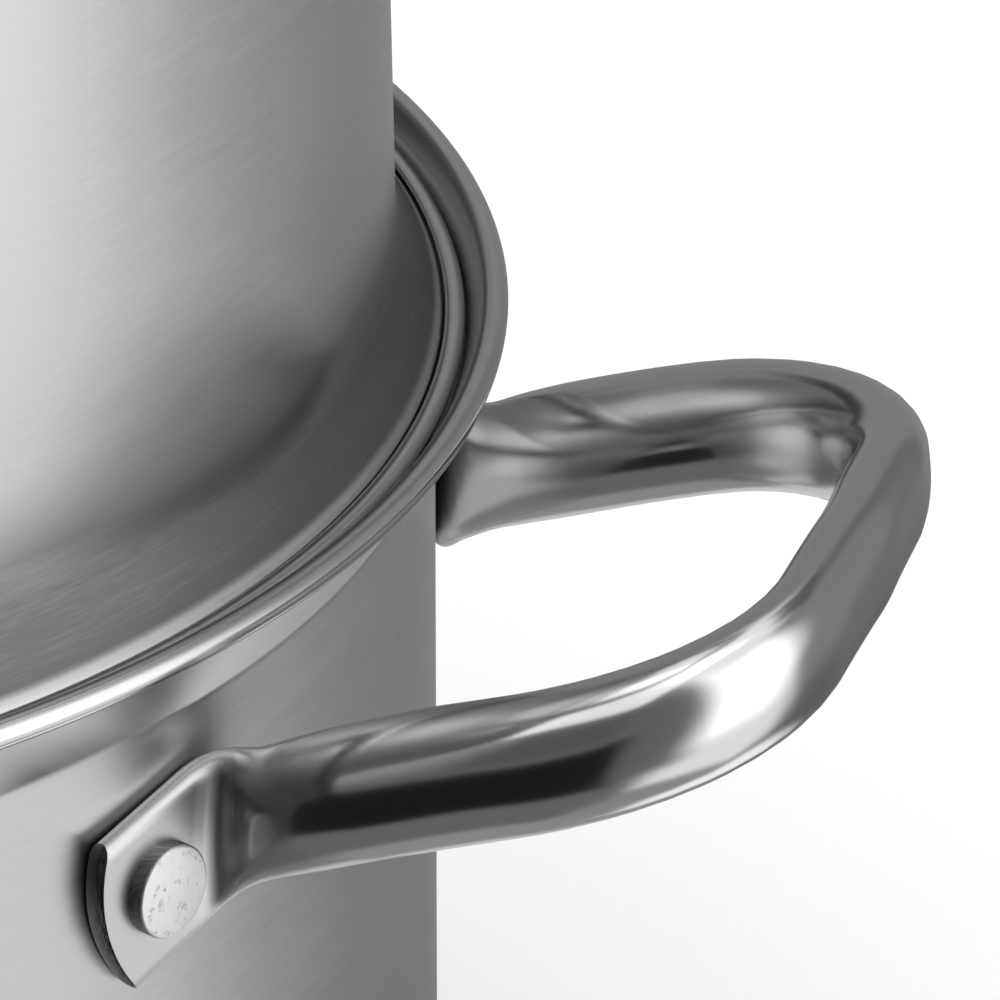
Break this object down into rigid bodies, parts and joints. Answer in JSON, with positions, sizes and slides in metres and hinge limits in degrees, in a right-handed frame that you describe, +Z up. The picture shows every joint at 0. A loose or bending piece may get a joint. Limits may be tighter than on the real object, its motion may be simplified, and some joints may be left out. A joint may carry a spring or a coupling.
{
  "type": "two-tier steamer pot",
  "caption": "Stainless steel stock pot with a steaming plate, a steamer tier nested in its flared rim, a glass lid, and riveted loop handles pressed from tube.",
  "frame": {"origin": "centre of the base face that the pot stands on", "axes": "+Z up along the pot's axis, +X through the middle of the right-hand loop handles, +Y away from the front"},
  "size_m": [0.406, 0.3, 0.3619],
  "materials": {
    "shell_steel": "spun, fine brushed grain",
    "handle_steel": "polished stainless steel",
    "rivet_steel": "dull, lightly scratched",
    "base_aluminium": "raw, enclosed",
    "lid_glass": "clear tempered glass",
    "silicone": "matt"
  },
  "bodies": {
    "pot": {"pot_shell": "shell_steel", "base_core": "base_aluminium", "base_cap": "shell_steel", "pot_handle_right": "handle_steel", "pot_handle_left": "handle_steel", "pot_rivet_right_front": "rivet_steel", "pot_rivet_right_rear": "rivet_steel", "pot_rivet_left_front": "rivet_steel", "pot_rivet_left_rear": "rivet_steel"},
    "plate": {"steam_plate": "shell_steel"},
    "tier": {"tier_shell": "shell_steel", "tier_handle_right": "handle_steel", "tier_handle_left": "handle_steel", "tier_rivet_right_front": "rivet_steel", "tier_rivet_right_rear": "rivet_steel", "tier_rivet_left_front": "rivet_steel", "tier_rivet_left_rear": "rivet_steel"},
    "lid": {"lid_glass": "lid_glass", "lid_rim": "handle_steel", "vent_grommet": "handle_steel", "knob_collar": "handle_steel", "lid_knob": "handle_steel", "knob_washer": "silicone", "knob_screw": "rivet_steel"}
  },
  "joints": [
    {"name": "plate_lift", "type": "slide", "parent": "pot", "child": "plate", "axis": [0, 0, 1], "range_m": [0, 0.1]},
    {"name": "tier_lift", "type": "slide", "parent": "plate", "child": "tier", "axis": [0, 0, 1], "range_m": [0, 0.15]},
    {"name": "lid_lift", "type": "slide", "parent": "tier", "child": "lid", "axis": [0, 0, 1], "range_m": [0, 0.12]}
  ]
}
